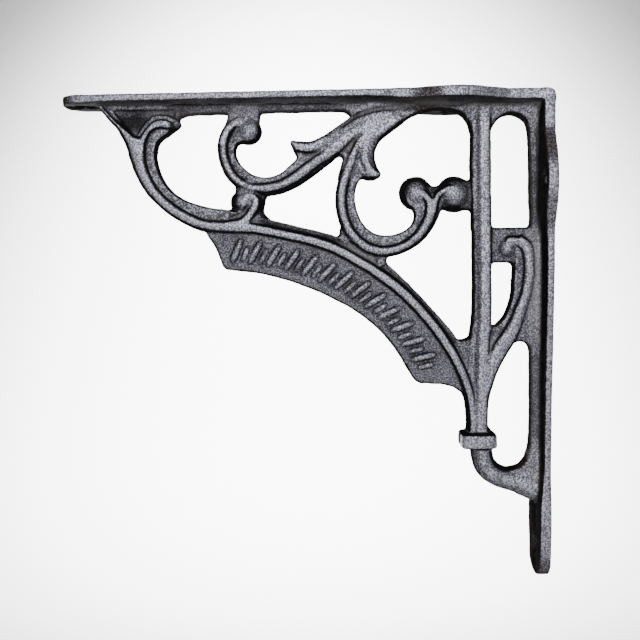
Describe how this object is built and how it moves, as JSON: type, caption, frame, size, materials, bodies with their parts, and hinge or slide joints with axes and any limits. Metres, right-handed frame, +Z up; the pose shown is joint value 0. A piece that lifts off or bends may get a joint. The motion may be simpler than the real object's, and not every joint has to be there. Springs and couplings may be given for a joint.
{
  "type": "shelf bracket",
  "caption": "L-shaped cast iron shelf bracket: openwork scroll web, arched band with slanted strokes, collar and pipe, shelf and wall plates with screw lobes.",
  "frame": {"origin": "on the wall plate's flat back, on its centre line, midway between the two upper wall screw holes", "axes": "+X out of the wall plate's back into the wall, the arm runs towards -X; +Y across the bracket; +Z up"},
  "size_m": [0.199, 0.0418, 0.1978],
  "materials": {
    "cast_iron": "dark burnished iron, sand-cast grain"
  },
  "bodies": {
    "root": {"shelf_bracket": "cast_iron"}
  },
  "joints": []
}
